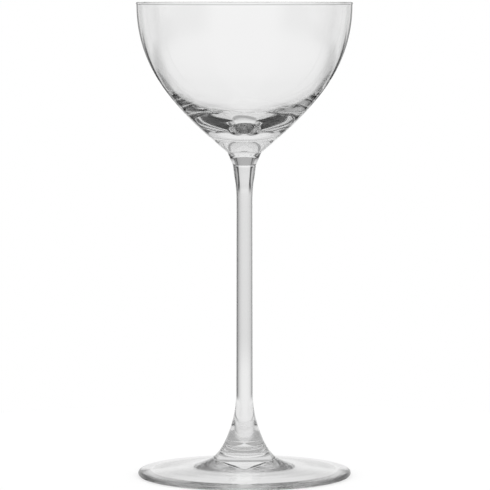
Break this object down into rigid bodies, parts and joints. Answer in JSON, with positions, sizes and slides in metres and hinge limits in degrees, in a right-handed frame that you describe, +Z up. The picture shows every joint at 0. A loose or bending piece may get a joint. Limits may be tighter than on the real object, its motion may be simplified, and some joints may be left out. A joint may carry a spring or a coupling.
{
  "type": "stemmed cocktail glass",
  "caption": "Clear stemmed cocktail glass with a deep rounded bowl that tapers to a slender drawn stem on a wide sloping foot, for short drinks served without ice.",
  "frame": {"origin": "centre of the foot on the plane that the glass stands on", "axes": "+Z up along the stem, towards the rim; the glass is round, so X and Y are any two directions across it"},
  "size_m": [0.0774, 0.0774, 0.17],
  "materials": {
    "clear_glass": "fire polished"
  },
  "bodies": {
    "root": {"bowl": "clear_glass", "stem": "clear_glass", "foot": "clear_glass"}
  },
  "joints": []
}
